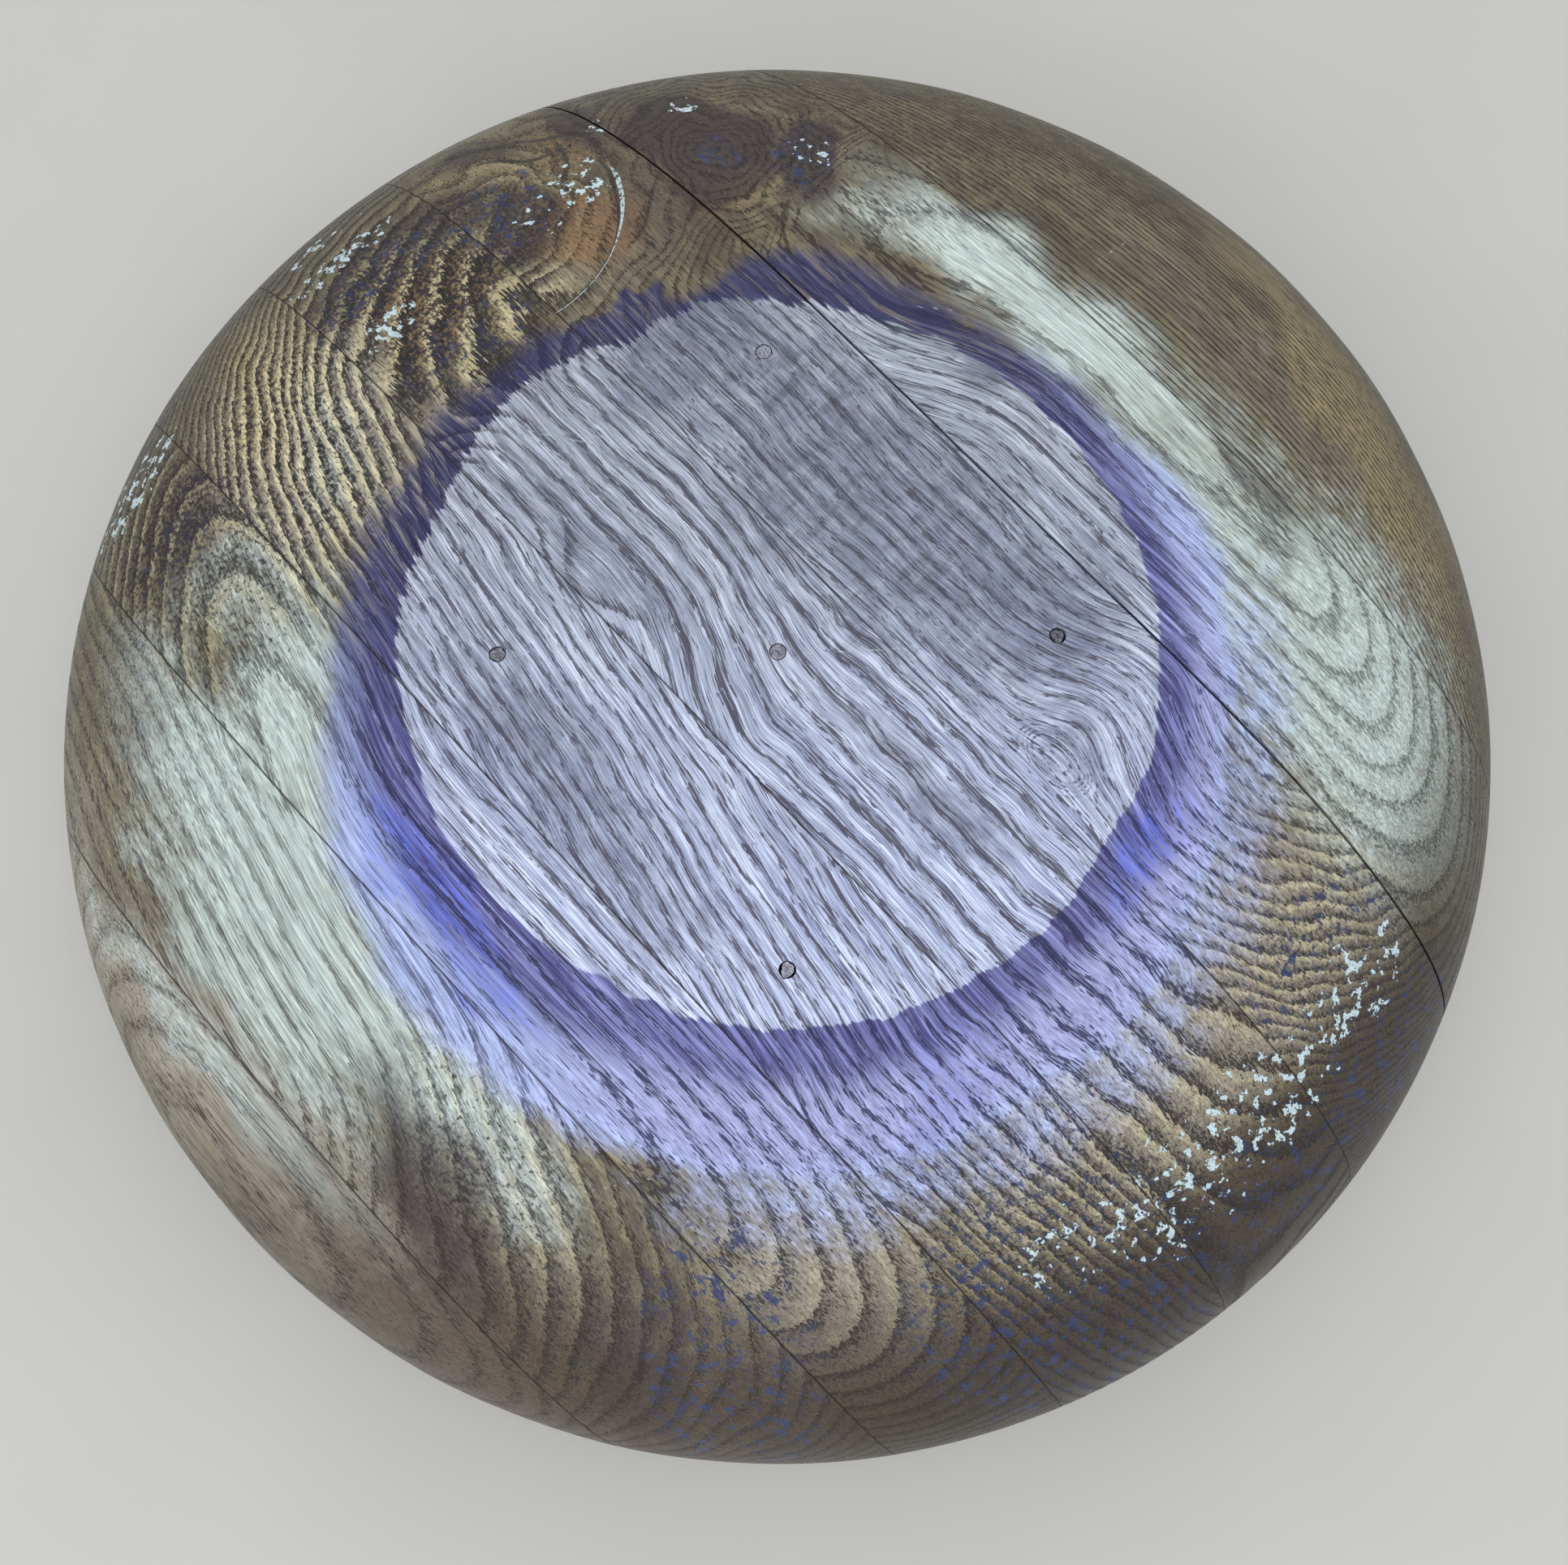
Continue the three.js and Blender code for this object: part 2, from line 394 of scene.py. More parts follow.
DARK_SPOTS = (
    (-122, 83, 22, 14, 0, 2.2), (-97, 100, 12, 9, -40, 1.6), (-135, 31, 14, 14, 0, 1.3),
    (-152, 0, 11, 28, 0, 1.5), (-131, 2, 10, 22, 10, 1.2), (-134, -90, 12, 20, 15, 0.9),
    (42, -143, 30, 7, -18, 0.7), (96, -137, 30, 12, -35, 0.6), (-78, -158, 24, 5, -14, 0.3),
    (-168, 40, 10, 9, 0, 0.9), (-80, 86, 12, 4, 35, 0.45), (-150, 66, 14, 6, 0, 0.8),
    (-112, 62, 26, 22, 0, 0.5), (-152, 92, 22, 26, 0, 0.45), (-92, 108, 26, 12, 20, 0.38),
    (-60, 126, 60, 5, 4, 0.4), (-118, -5, 8, 24, 20, 0.6), (20, 144, 60, 8, 0, 0.25),
    (-176, -40, 8, 60, 10, 0.4), (-108, 120, 40, 12, 15, 0.4), (-70, 150, 70, 14, 22, 0.3),
    (54, 118, 14, 4, -4, 0.5), (38, -149, 28, 11, -18, 0.9), (-110, -125, 26, 10, -25, 0.35),
    (-100, 5, 5, 18, 0, 0.6),
)
WHITE_FLECK_SPOTS = (
    (155, 45, 11, 26, 8, 1.0), (160, 8, 13, 26, 0, 1.05), (160, -20, 14, 22, 0, 1.05),
    (152, -45, 11, 22, -14, 0.95), (-165, -8, 4.5, 18, 0, 1.35), (-178, -8, 3, 15, 0, 1.2),
    (-135, -15, 6, 10, 0, 1.25), (-133, 50, 10, 9, -20, 1.2), (-157, -92, 8, 20, 14, 1.1),
    (-146, 68, 6, 4, 0, 1.0), (-188, -60, 4, 60, 12, 1.0), (-132, 36, 8, 8, 0, 0.9),
    (-98, 103, 8, 8, -40, 0.9), (-135, 88, 5, 10, 20, 0.8),
)
BLUE_FLECK_SPOTS = (
    (174, 20, 14, 60, 0, 1.0), (160, -55, 30, 40, -30, 1.0), (120, -128, 40, 20, -32, 1.0),
    (-150, -5, 10, 34, 0, 0.55), (-140, 32, 14, 16, 0, 0.9), (-116, 0, 12, 26, 0, 0.45),
    (-128, -90, 12, 24, 15, 0.4), (-97, 100, 12, 10, -40, 0.7), (146, 45, 18, 26, 0, 0.7),
    (-115, 85, 7, 6, 0, 0.9),
)
FOOT_STAIN_SPOTS = (
    (-15, 44, 66, 27, 0, 0.9), (36, 54, 24, 18, 0, 0.9), (-46, -16, 34, 10, 0, 0.6),
    (-8, -62, 50, 13, -8, 0.75), (-16, 85, 8, 4, 0, 0.9), (-76, 38, 16, 26, 0, 1.1),
    (62, 34, 30, 12, 0, 0.55), (20, -62, 30, 10, 0, 0.6), (-22, -14, 9, 7, -30, 0.6),
    (52, 2, 28, 8, 0, 0.75), (45, 54, 9, 9, 0, 1.2), (-50, -60, 12, 8, 0, 0.5),
)
# Where the fibres ripple and catch the light in bars across the board.
CURL_SPOTS = ((-48, 52, 14, 16, 0, 1.0), (-5, 36, 34, 20, 0, 0.8), (-80, 40, 14, 24, 0, 0.5))
# Where thin bright blue streaks are painted on the dye as glints of reflected light.
PAINTED_GLINT_SPOTS = (
    (-8, -104, 34, 7, -8, 1.0), (97, 28, 8, 22, 10, 0.6), (104, -45, 10, 30, 20, 0.4),
)
RUST_SPOTS = (
    (-120, 42, 13, 15, -40, 1.0), (-108, 76, 14, 8, 0, 0.5), (-165, -47, 10, 8, 0, 0.5),
    (-130, -35, 10, 5, 0, 0.4), (-132, -2, 16, 20, 0, 0.6), (-150, 56, 14, 8, 0, 0.5),
)
# Weathered end grain, where the soft early wood is dark and low between hard pale ridges.
RIDGED_SPOTS = (
    (-128, -4, 32, 27, 0, 1.0), (-125, -50, 42, 27, -25, 1.0), (-138, -94, 16, 20, 0, 0.8),
    (-108, -94, 20, 20, 0, 0.35), (138, 42, 22, 30, 0, 0.5), (138, -28, 34, 50, 0, 0.5),
    (60, -136, 70, 20, -20, 0.35), (130, -95, 30, 18, 0, 0.3), (-142, 34, 18, 18, 0, 0.3),
)
# Where dark pits cover the wood whatever the rings do.
PITTED_SPOTS = (
    (-132, -90, 16, 24, 15, 1.0), (-148, -92, 12, 20, 10, 0.6), (-98, -92, 16, 18, 0, 0.4),
    (-114, -92, 11, 22, -12, 0.95), (-140, -46, 20, 22, -20, 0.55), (-112, -50, 12, 20, 10, 0.5),
    (-128, 0, 26, 22, 0, 0.8), (-138, 33, 12, 16, 20, 1.0), (-166, 46, 8, 12, 0, 0.6),
    (-150, 60, 18, 7, 10, 0.5), (-100, 98, 14, 10, -40, 0.8), (-148, -2, 10, 26, 8, 0.9),
    (-112, -4, 8, 22, 10, 0.7), (165, 0, 20, 70, 0, 0.45), (60, -140, 60, 18, -20, 0.3),
    (144, -50, 30, 26, 0, 0.7), (146, 48, 18, 22, 0, 0.4),
)
# Dark fissures and pale scratches: from (x, y) to (x, y).
FISSURES = (
    (-172, 37, -164, 20), (-160, 62, -134, 50), (-150, 54, -158, 37), (-147, 67, -161, 49),
    (-117, 64, -108, 47), (-138, 24, -150, 44), (-108, 108, -94, 90), (-88, 88, -76, 78),
)
SCRATCHES = (
    (-22, 136, -21.5, 147), (-71, -118, -68, -145), (5, 3, 21, 22), (53, 182, 54, 190),
    (-86, -8, -73, 1), (60, -128, 75, -104), (-3, -156, -20, -138), (-44, 88, -36, 95),
)
# Where the foot's edge and the dye ring leave their plain curves: at an angle in degrees, over a
# width in degrees, by some mm.
FOOT_EDGE_BUMPS = (
    (17, 9, -1.6), (30, 6, 0.8), (149, 8, 2.2), (162, 6, -2.6), (182, 13, 2.6), (118, 12, -1.0),
    (90, 20, -1.6), (222, 14, 1.5), (285, 16, -1.5),
)
DYE_REACH_BUMPS = (
    (-38, 24, 6), (-96, 18, 4), (180, 15, 3), (131, 13, 11), (0, 14, 4), (-68, 13, 4), (64, 14, 5),
)
FOOT_EDGE_RADIUS = 93.3
DYE_REACH = 110.5
DYE_CORE = 102


def bumps(angle, places):
    """The sum of smooth rises round the bowl."""
    total = np.zeros_like(angle)
    for centre, width, rise in places:
        away = np.angle(np.exp(1j * (angle - math.radians(centre))))
        total += rise * np.exp(-(away / math.radians(width)) ** 2)
    return total


def foot_edge(angle):
    """Radius of the bare foot by angle: nearly round, as dye crept in or sanding went over in places."""
    return FOOT_EDGE_RADIUS + bumps(angle, FOOT_EDGE_BUMPS)


def dye_fields(x, y):
    """How strong the blue ring is, how deep, how navy, and where it dried to a greyish lilac."""
    radius = np.hypot(x, y)
    angle = np.arctan2(y, x)
    reach = DYE_REACH + 12 * np.cos(angle + math.radians(45)) + bumps(angle, DYE_REACH_BUMPS)
    reach += 1.6 * wobble(x, y, 34, 30)
    core = DYE_CORE + 3 * np.cos(angle + math.radians(80)) + 1.2 * wobble(x, y, 24, 31)
    dye = smooth(reach + 7, reach - 7, radius)
    deep = smooth(core + 7, core - 4, radius)
    navy = smooth(0.1, -0.75, np.cos(angle + math.radians(20)))
    # The dye is faint along the far side, except close to the foot.
    faint = smooth(55, 72, np.degrees(angle)) * smooth(128, 104, np.degrees(angle))
    beyond = smooth(-1, 5, radius - foot_edge(angle))
    # Beside the knot the dye missed the wood, and below that it left a dark patch.
    missed = np.maximum(0.8 * oval(x, y, -97, 56, 13, 12, 0), oval(x, y, -107, 31, 9, 18, 0))
    crept_x = x + 2.5 * wobble(x, y, 9, 35)
    patch = oval(crept_x, y, -91.5, 31, 6, 14, 0, 0.2)
    dye = dye * (1 - 0.9 * missed) * (1 - 0.05 * faint - 0.12 * faint * beyond)
    veil = 0.5 * smooth(reach + 26, reach + 4, radius) * smooth(0.35, 0.75, np.cos(angle))
    dye = np.maximum(np.maximum(dye, patch), veil)
    soft = smooth(reach + 1, reach - 8, radius) * smooth(0.2, 0.7, np.cos(angle + math.radians(5)))
    return dye, np.maximum(deep, patch), np.maximum(navy, patch), soft


def distance_to(x, y, start_x, start_y, end_x, end_y):
    """Distance in plan from a straight scratch."""
    run_x = end_x - start_x
    run_y = end_y - start_y
    share = np.clip(((x - start_x) * run_x + (y - start_y) * run_y) / (run_x ** 2 + run_y ** 2), 0, 1)
    return np.hypot(x - start_x - share * run_x, y - start_y - share * run_y)


def surface_fields(x, y, z):
    """All the masks that the material reads, by name. Each value is one number for each point."""
    radius = np.hypot(x, y)
    angle = np.arctan2(y, x)
    outside = outside_share(x, y, z)
    foot = foot_edge(angle) + 0.5 * wobble(x, y, 12, 32) - radius
    foot = np.where(z > 99, foot, NOT_FOOT)
    dye, deep, navy, soft = dye_fields(x, y)
    warp_x = x + 3 * wobble(x, y, 30, 33)
    warp_y = y + 3 * wobble(x, y, 30, 34)
    painted_shade_side = smooth(0.2, 0.85, np.cos(angle + math.radians(28)))
    fields = {
        "foot": foot,
        "dye": dye * outside,
        "deep": deep,
        "navy": navy,
        "soft": soft,
        "outside": outside,
        "pale": ovals(warp_x, warp_y, PALE_SPOTS, 0.75) * outside,
        "beige": ovals(warp_x, warp_y, BEIGE_SPOTS) * outside,
        # Golden wood, and a painted sheen on the far rim.
        "gold_and_sheen": ovals(warp_x, warp_y, GOLD_AND_SHEEN_SPOTS) * outside,
        "dark": ovals(warp_x, warp_y, DARK_SPOTS) * outside,
        # Painted shade: the wall turns dark brown near the rim on the side away from the window light.
        "shade": smooth(140, 180, radius) * painted_shade_side * outside,
        # Painted shade: the wall darkens towards the rim, all round except on the −Y side.
        "rim": smooth(150, 196, radius) * (1 - smooth(-0.5, -0.85, np.sin(angle))) * outside,
        "pitted": ovals(warp_x, warp_y, PITTED_SPOTS) * outside,
        "from_joint": np.min([np.abs(y - joint) for joint in JOINTS], axis=0),
        "scratch": np.min([distance_to(x, y, *scratch) for scratch in SCRATCHES], axis=0),
        "fissure": np.min([distance_to(warp_x, warp_y, *fissure) for fissure in FISSURES], axis=0),
        "rust": ovals(warp_x, warp_y, RUST_SPOTS, 0.45) * outside,
        "white_fleck": ovals(x, y, WHITE_FLECK_SPOTS, 0.45) * smooth(38, 55, z) * outside,
        "blue_fleck": ovals(x, y, BLUE_FLECK_SPOTS, 0.45) * smooth(38, 60, z) * outside,
        "foot_stain": ovals(warp_x, warp_y, FOOT_STAIN_SPOTS),
        "curl": ovals(warp_x, warp_y, CURL_SPOTS),
        # Where painted glints of reflected light lie on the dye.
        "painted_glint_share": ovals(warp_x, warp_y, PAINTED_GLINT_SPOTS),
        "ridged": ovals(warp_x, warp_y, RIDGED_SPOTS) * outside,
        "cool": smooth(-90, 110, 0.75 * x - 0.65 * y),
    }
    # The crack's pale filling thins out towards its lower end.
    ends = smooth(19, 24, y) * smooth(61, 56, y) * smooth(-140, -134, x)
    away = np.hypot(x - CRACK_CENTRE[0], y - CRACK_CENTRE[1]) - CRACK_RADIUS
    away = away * (1 + 4 * smooth(56, 36, y))
    fields["crack"] = np.where(ends * outside > 0.01, away, NO_CRACK)
    return fields


# Heights and depths of the relief, mm.
GROOVE_DEPTH = 0.05
WORN_GROOVE_DEPTH = 0.25
BARE_GROOVE_DEPTH = 0.02
TOOL_MARK_HEIGHT = 0.03
TOOL_MARK_SPACING = 1.9
UNEVEN_HEIGHT = 0.12


def relief(x, y, z, rings):
    """How far the outside stands proud, mm: ridges of late wood on worn end grain, and tool marks."""
    phase = rings % 1
    groove = smooth(0.0, 0.12, phase) * smooth(0.62, 0.3, phase)
    worn = ovals(x, y, RIDGED_SPOTS) * (1 - 0.4 * smooth(0, 60, x))
    bare = smooth(96, 90, np.hypot(x, y)) * smooth(99, 102, z)
    tool = TOOL_MARK_HEIGHT * np.sin(np.hypot(x, y) / TOOL_MARK_SPACING)
    uneven = UNEVEN_HEIGHT * wobble(x, y, 60, 40)
    patchy = 0.6 + 0.4 * wobble(x, y, 15, 44)
    depth = GROOVE_DEPTH + WORN_GROOVE_DEPTH * worn * patchy + BARE_GROOVE_DEPTH * bare
    return uneven + tool - groove * depth


# ---- Boards ----

# Name, figure, the joints above and below along Y, the length of the pores in mm, and how strong
# the rings are.
BOARDS = (
    ("board_1", rings_board_1, FAR, JOINTS[0], 9.0, 1.25),
    ("board_2", rings_board_2, JOINTS[0], JOINTS[1], 6.0, 0.9),
    ("board_3", rings_board_3, JOINTS[1], JOINTS[2], 3.6, 0.8),
    ("board_4", rings_board_4, JOINTS[2], JOINTS[3], 6.5, 1.1),
    ("board_5", rings_board_5, JOINTS[3], JOINTS[4], 5.5, 1.0),
    ("board_6", rings_board_6, JOINTS[4], JOINTS[5], 6.0, 0.9),
    ("board_7", rings_board_7, JOINTS[5], JOINTS[6], 10.0, 0.75),
    ("board_8", rings_board_8, JOINTS[6], -FAR, 6.0, 0.65),
)


def half_gap(joint):
    return (OPEN_GAP if joint == OPEN_JOINT else TIGHT_GAP) / 2


def slab(low_y, high_y):
    """A block that holds everything between two joints."""
    corners = [(x, y, z) for x in (-FAR, FAR) for y in (low_y, high_y) for z in (-FAR, FAR)]
    faces = [(0, 1, 3, 2), (4, 6, 7, 5), (0, 4, 5, 1), (2, 3, 7, 6), (0, 2, 6, 4), (1, 5, 7, 3)]
    return new_object("slab", make_mesh("slab", corners, faces))


def cut(obj, tool, operation):
    """Applies a boolean cut and removes the tool."""
    modifier = obj.modifiers.new("cut", "BOOLEAN")
    modifier.operation = operation
    modifier.solver = "MANIFOLD"
    modifier.object = tool
    evaluated = obj.evaluated_get(bpy.context.evaluated_depsgraph_get())
    mesh = bpy.data.meshes.new_from_object(evaluated)
    obj.modifiers.clear()
    old = obj.data
    obj.data = mesh
    bpy.data.meshes.remove(old)
    bpy.data.meshes.remove(tool.data)


def set_attribute(mesh, name, values):
    kind = "FLOAT" if values.ndim == 1 else "FLOAT_VECTOR"
    key = "value" if values.ndim == 1 else "vector"
    attribute = mesh.attributes.new(name, kind, "POINT")
    attribute.data.foreach_set(key, np.ascontiguousarray(values, np.float32).ravel())


def points_of(mesh):
    co = np.zeros(len(mesh.vertices) * 3, np.float32)
    mesh.vertices.foreach_get("co", co)
    return co.reshape(-1, 3).astype(float) / MM


def paint_fields(mesh, ring_function):
    """Writes what the wood material reads into the mesh."""
    x, y, z = points_of(mesh).T
    rings, v, w = ring_function(x, y, z)
    set_attribute(mesh, "rings", rings)
    set_attribute(mesh, "grain", np.stack([x, v, w], 1))
    for name, values in surface_fields(x, y, z).items():
        set_attribute(mesh, name, values)


def shade(mesh, angle):
    """Smooth shading, with sharp edges where faces meet at more than an angle in degrees."""
    mesh.shade_smooth()
    mesh.set_sharp_from_angle(angle=math.radians(angle))


# ---- Plugs in the screw holes ----

PLUG_SHARP_ANGLE = 40
PLUG_RADIUS = 2.1
PLUG_DEPTH = 9
HOLE_CLEARANCE = 0.22
HOLE_SIDES = 48
# Name, place, how far the top sits below the wood, how ragged it is, and its shade.
PLUGS = (
    ("screw_hole_plug_center", 0, -1.6, 0.12, 0.10, 0.50),
    ("screw_hole_plug_1", 44.2, 51.8, 0.35, 0.45, 0.16),
    ("screw_hole_plug_2", -61.1, 50.9, 0.05, 0.18, 0.60),
    ("screw_hole_plug_3", -46.6, -52.3, 0.15, 0.30, 0.36),
    ("screw_hole_plug_4", 58.5, -53.6, 0.10, 0.40, 0.72),
)


def ragged_outline(name, radius, raggedness):
    """Radii round a plug that was cut or chipped by hand."""
    rng = np.random.default_rng(SEED + sum(map(ord, name)))
    angle = np.arange(HOLE_SIDES) * 2 * math.pi / HOLE_SIDES
    wave = np.zeros(HOLE_SIDES)
    for order in (2, 3, 5, 7):
        wave += rng.uniform(0.3, 1) / order ** 0.6 * np.sin(order * angle + rng.uniform(0, 6.28))
    return angle, radius * (1 - raggedness * 0.5 + raggedness * 0.5 * wave)


def hole_cutter(name, x, y, raggedness):
    angle, radii = ragged_outline(name, PLUG_RADIUS, raggedness)
    radii = np.maximum(radii, PLUG_RADIUS * 0.9) + HOLE_CLEARANCE
    points = []
    for height in (TOTAL_HEIGHT - PLUG_DEPTH, TOTAL_HEIGHT + 5):
        for a, r in zip(angle, radii):
            points.append((x + r * math.cos(a), y + r * math.sin(a), height))
    n = HOLE_SIDES
    faces = [list(range(n))[::-1], list(range(n, 2 * n))]
    faces += [[k, (k + 1) % n, n + (k + 1) % n, n + k] for k in range(n)]
    return new_object("cutter", make_mesh("cutter", points, faces))


def make_plug(name, x, y, sunk, raggedness):
    """A dab of filler: a ragged cylinder with a domed, pitted top and a rounded edge."""
    rng = np.random.default_rng(SEED * 3 + sum(map(ord, name)))
    angle, radii = ragged_outline(name, PLUG_RADIUS, raggedness)
    top = TOTAL_HEIGHT - sunk
    levels = [(0.97, top - PLUG_DEPTH + 0.6), (1.0, top - PLUG_DEPTH + 1.2), (1.0, top - 2.5),
              (1.0, top - 0.35), (0.96, top - 0.12), (0.88, top - 0.03)]
    levels += [(share, top) for share in (0.74, 0.58, 0.42, 0.27, 0.13)]
    points = [(x, y, top - PLUG_DEPTH + 0.6)]
    for share, height in levels:
        for a, r in zip(angle, radii):
            pit = -abs(rng.normal(0, 0.05 + 0.25 * raggedness)) if share < 0.9 else 0.0
            points.append((x + share * r * math.cos(a), y + share * r * math.sin(a), height + pit))
    points.append((x, y, top))
    n = HOLE_SIDES
    faces = [[0, 1 + (k + 1) % n, 1 + k] for k in range(n)]
    for level in range(len(levels) - 1):
        start = 1 + level * n
        for k in range(n):
            after = (k + 1) % n
            faces.append([start + k, start + after, start + n + after, start + n + k])
    last = 1 + (len(levels) - 1) * n
    faces += [[last + k, last + (k + 1) % n, len(points) - 1] for k in range(n)]
    mesh = make_mesh(name + "_look", points, faces)
    shade(mesh, PLUG_SHARP_ANGLE)
    return new_object(name + "_look", mesh)


# ---- Materials ----

def srgb(red, green, blue):
    """A display colour, 0 to 255, as linear red, green, blue and alpha."""
    levels = []
    for value in (red, green, blue):
        c = value / 255
        levels.append(c / 12.92 if c <= 0.04045 else ((c + 0.055) / 1.055) ** 2.4)
    return (*levels, 1)


OLIVE = srgb(126, 116, 88)
OLIVE_DEEP = srgb(96, 86, 66)
CREAM = srgb(198, 212, 206)
BEIGE = srgb(162, 154, 140)
# Golden wood, also used for a painted sheen on the far rim.
GOLD_AND_SHEEN = srgb(166, 150, 108)
STAIN = srgb(58, 44, 44)
RUST = srgb(140, 98, 56)
INSIDE = srgb(126, 108, 78)
FOOT_GREY = srgb(138, 144, 158)
FOOT_GREY_LIGHT = srgb(196, 202, 214)
FOOT_LILAC = srgb(158, 166, 210)
FOOT_LILAC_LIGHT = srgb(222, 232, 255)
FOOT_STAIN = srgb(104, 108, 130)
CREST = srgb(228, 216, 172)
# Brown of the painted shade near the rim on the side away from the window.
PAINTED_SHADE = srgb(76, 62, 50)
CHIP_BLUE = srgb(52, 62, 100)
LOW_WOOD = srgb(46, 42, 50)
DYE_VIOLET = srgb(76, 72, 140)
DYE_VIOLET_LIGHT = srgb(172, 178, 232)
DYE_NAVY = srgb(42, 44, 88)
DYE_NAVY_LIGHT = srgb(98, 98, 150)
DYE_HALO = srgb(176, 190, 236)
DYE_SOFT = srgb(168, 168, 216)
# Bright blue of the painted glints on the dye.
PAINTED_GLINT_BLUE = srgb(84, 104, 214)
PORE_WALL = srgb(50, 42, 38)
PORE_DYE = srgb(40, 42, 86)
PORE_FOOT = srgb(80, 77, 90)
PORE_BLUE = srgb(46, 60, 98)
FLECK_WHITE = srgb(200, 220, 224)

# How far the bump of a material stands, in metres.
WOOD_BUMP = 0.00018
SMALL_BUMP = 0.0002


class Nodes:
    """Makes shader nodes in one tree, by short calls."""

    def __init__(self, name):
        self.material = bpy.data.materials.new(name)
        self.material.use_nodes = True
        self.tree = self.material.node_tree
        self.tree.nodes.clear()

    def node(self, kind, **settings):
        made = self.tree.nodes.new(kind)
        for key, value in settings.items():
            setattr(made, key, value)
        return made

    def plug(self, source, socket):
        if isinstance(source, bpy.types.NodeSocket):
            self.tree.links.new(source, socket)
        else:
            socket.default_value = source

    def field(self, name, output="Fac"):
        """What paint_fields wrote into the mesh under a name."""
        return self.node("ShaderNodeAttribute", attribute_name=name).outputs[output]

    def math(self, operation, first, second=0.0, third=0.0):
        made = self.node("ShaderNodeMath", operation=operation)
        for socket, value in zip(made.inputs, (first, second, third)):
            self.plug(value, socket)
        return made.outputs[0]

    def times(self, first, *others):
        for other in others:
            first = self.math("MULTIPLY", first, other)
        return first

    def plus(self, first, *others):
        for other in others:
            first = self.math("ADD", first, other)
        return first

    def smooth(self, low, high, value):
        made = self.node("ShaderNodeMapRange", interpolation_type="SMOOTHSTEP")
        for socket, source in zip(made.inputs, (value, low, high)):
            self.plug(source, socket)
        return made.outputs[0]

    def blend(self, factor, first, second, mode="MIX"):
        made = self.node("ShaderNodeMix", data_type="RGBA", blend_type=mode, clamp_factor=True)
        self.plug(factor, made.inputs[0])
        self.plug(first, made.inputs[6])
        self.plug(second, made.inputs[7])
        return made.outputs[2]

    def scaled(self, vector, x, y, z, shift=0.0):
        made = self.node("ShaderNodeVectorMath", operation="MULTIPLY_ADD")
        self.plug(vector, made.inputs[0])
        made.inputs[1].default_value = (x, y, z)
        made.inputs[2].default_value = (shift, shift * 0.7, shift * 1.3)
        return made.outputs[0]

    def noise(self, vector, scale=1.0, detail=2.0, roughness=0.5):
        made = self.node("ShaderNodeTexNoise")
        self.plug(vector, made.inputs["Vector"])
        made.inputs["Scale"].default_value = scale
        made.inputs["Detail"].default_value = detail
        made.inputs["Roughness"].default_value = roughness
        return made.outputs[0]

    def finish(self, color, roughness, height, distance, specular):
        bump = self.node("ShaderNodeBump")
        bump.inputs["Distance"].default_value = distance
        self.plug(height, bump.inputs["Height"])
        shader = self.node("ShaderNodeBsdfPrincipled")
        shader.inputs["Specular IOR Level"].default_value = specular
        self.plug(color, shader.inputs["Base Color"])
        self.plug(roughness, shader.inputs["Roughness"])
        self.plug(bump.outputs[0], shader.inputs["Normal"])
        output = self.node("ShaderNodeOutputMaterial")
        self.tree.links.new(shader.outputs[0], output.inputs[0])
        return self.material


